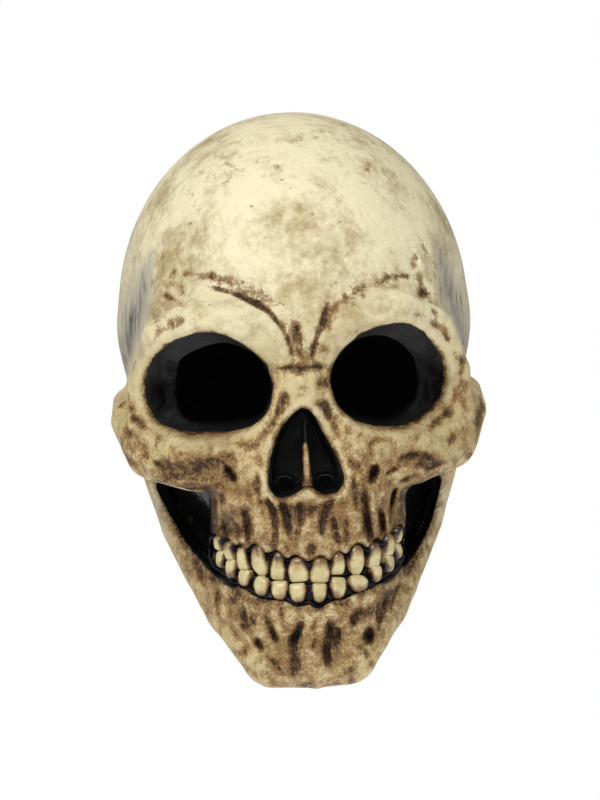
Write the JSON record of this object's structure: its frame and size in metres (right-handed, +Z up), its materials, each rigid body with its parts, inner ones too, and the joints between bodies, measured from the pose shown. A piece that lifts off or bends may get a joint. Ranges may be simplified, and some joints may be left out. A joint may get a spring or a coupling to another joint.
{
  "type": "skull mask",
  "caption": "Full-head latex skull mask with open eye sockets, a recessed nose, hollow cheeks, separate teeth in a dark bed, foam pads and a slit at the back between two folding flaps.",
  "frame": {"origin": "centre of the wearer's head at eye height, on the mask's mid-plane", "axes": "+Z up, the face looks along -Y, +X towards the wearer's left"},
  "size_m": [0.1752, 0.2337, 0.2658],
  "materials": {
    "bone_latex": "matt cast latex painted a pale bone colour",
    "dark_latex": "glossy black paint on latex",
    "tooth_latex": "satin cream paint on latex, browner at the gums",
    "foam": "open-cell upholstery foam",
    "tape": "woven cloth tape soaked in latex"
  },
  "bodies": {
    "head_shell": {"face_skin": "bone_latex", "rear_skin": "bone_latex", "nasal_septum": "bone_latex", "left_cheek_panel": "dark_latex", "right_cheek_panel": "dark_latex", "upper_bed": "dark_latex", "lower_bed": "dark_latex", "upper_left_tooth_1": "tooth_latex", "lower_left_tooth_1": "tooth_latex", "upper_left_tooth_2": "tooth_latex", "lower_left_tooth_2": "tooth_latex", "upper_left_tooth_3": "tooth_latex", "lower_left_tooth_3": "tooth_latex", "upper_left_tooth_4": "tooth_latex", "lower_left_tooth_4": "tooth_latex", "upper_left_tooth_5": "tooth_latex", "lower_left_tooth_5": "tooth_latex", "upper_left_tooth_6": "tooth_latex", "lower_left_tooth_6": "tooth_latex", "upper_right_tooth_1": "tooth_latex", "lower_right_tooth_1": "tooth_latex", "upper_right_tooth_2": "tooth_latex", "lower_right_tooth_2": "tooth_latex", "upper_right_tooth_3": "tooth_latex", "lower_right_tooth_3": "tooth_latex", "upper_right_tooth_4": "tooth_latex", "lower_right_tooth_4": "tooth_latex", "upper_right_tooth_5": "tooth_latex", "lower_right_tooth_5": "tooth_latex", "upper_right_tooth_6": "tooth_latex", "lower_right_tooth_6": "tooth_latex", "forehead_pad": "foam", "crown_pad": "foam", "left_temple_pad": "foam", "right_temple_pad": "foam", "rear_pad": "foam", "parting_tape": "tape", "slit_patch": "tape"},
    "left_flap": {"left_rear_flap": "bone_latex"},
    "right_flap": {"right_rear_flap": "bone_latex"}
  },
  "joints": [
    {"name": "left_flap_fold", "type": "hinge", "parent": "head_shell", "child": "left_flap", "pos_m": [0.02799, 0.092, -0.03752], "axis": [0.3501, -0.533, -0.7703], "range_deg": [0, 38], "stiffness_Nm_per_rad": 0.08},
    {"name": "right_flap_fold", "type": "hinge", "parent": "head_shell", "child": "right_flap", "pos_m": [-0.02799, 0.092, -0.03752], "axis": [0.3501, 0.533, 0.7703], "range_deg": [0, 38], "stiffness_Nm_per_rad": 0.08}
  ]
}
